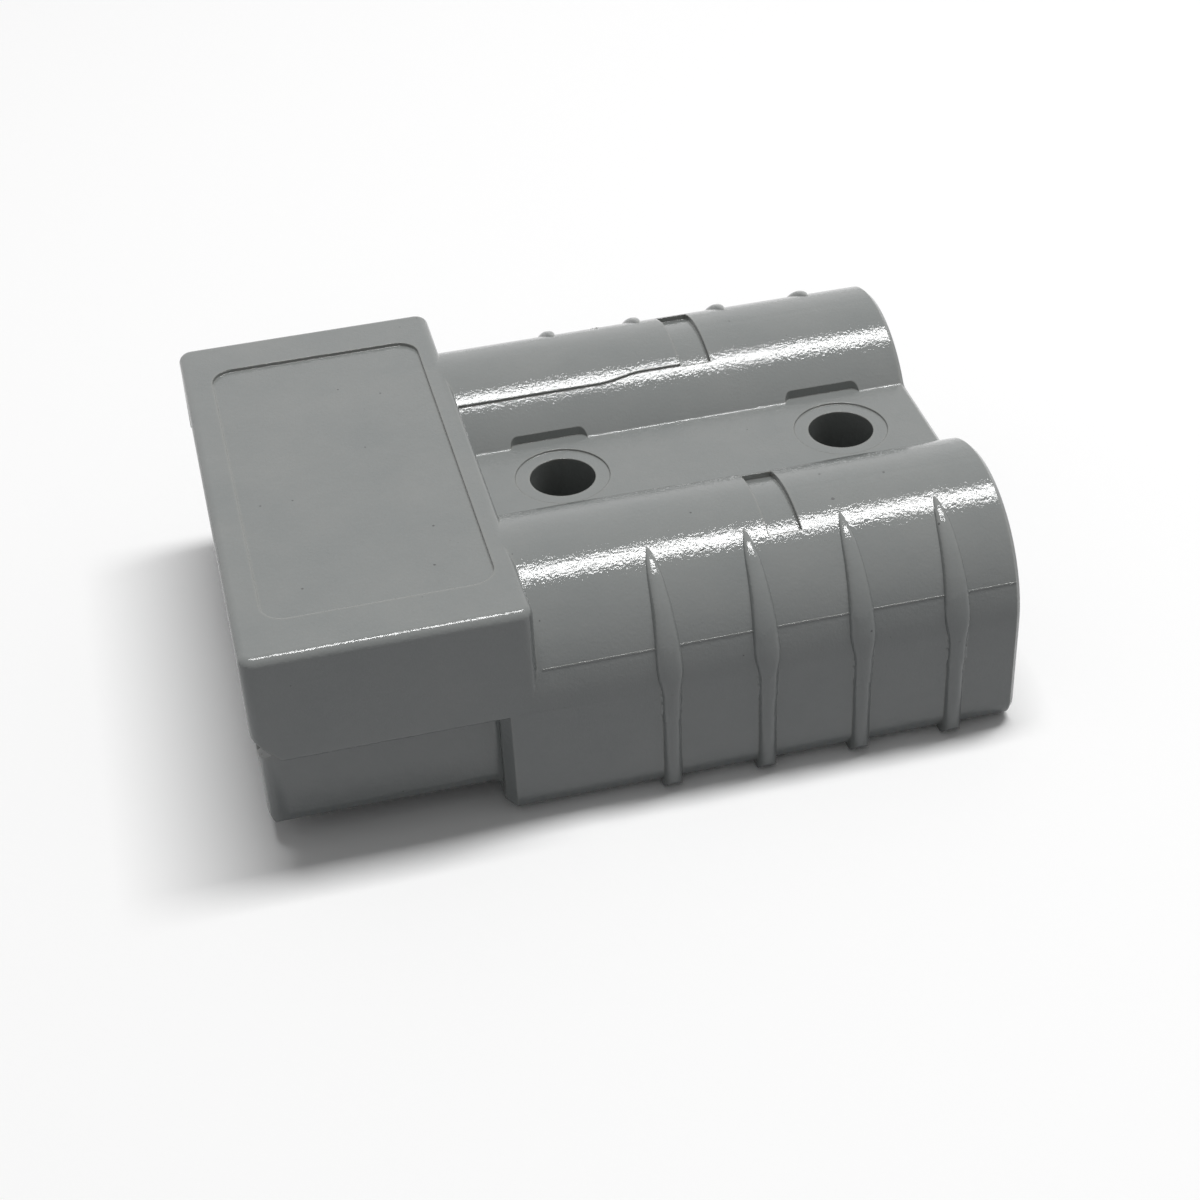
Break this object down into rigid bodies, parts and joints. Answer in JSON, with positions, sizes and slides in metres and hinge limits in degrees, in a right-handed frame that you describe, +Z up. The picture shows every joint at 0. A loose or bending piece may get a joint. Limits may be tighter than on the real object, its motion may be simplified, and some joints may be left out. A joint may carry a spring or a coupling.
{
  "type": "genderless power connector",
  "caption": "Flat genderless power connector housing with a hood, a tongue, ribbed half-round barrels, spring-backed flat contacts and rear cable entries.",
  "frame": {"origin": "middle of the underside, on the surface that the body lies on", "axes": "+X towards the cable end, -X towards the mating face, +Z up through the hood, Y from side to side"},
  "size_m": [0.0478, 0.0366, 0.0157],
  "materials": {
    "housing_grey": "glossy moulded mid grey with a faint orange peel",
    "contact_silver": "silver plate over copper, satin",
    "spring_steel": "bare stainless strip"
  },
  "bodies": {
    "root": {"housing": "housing_grey", "contact_left": "contact_silver", "contact_right": "contact_silver", "leaf_spring_left": "spring_steel", "leaf_spring_right": "spring_steel"}
  },
  "joints": []
}
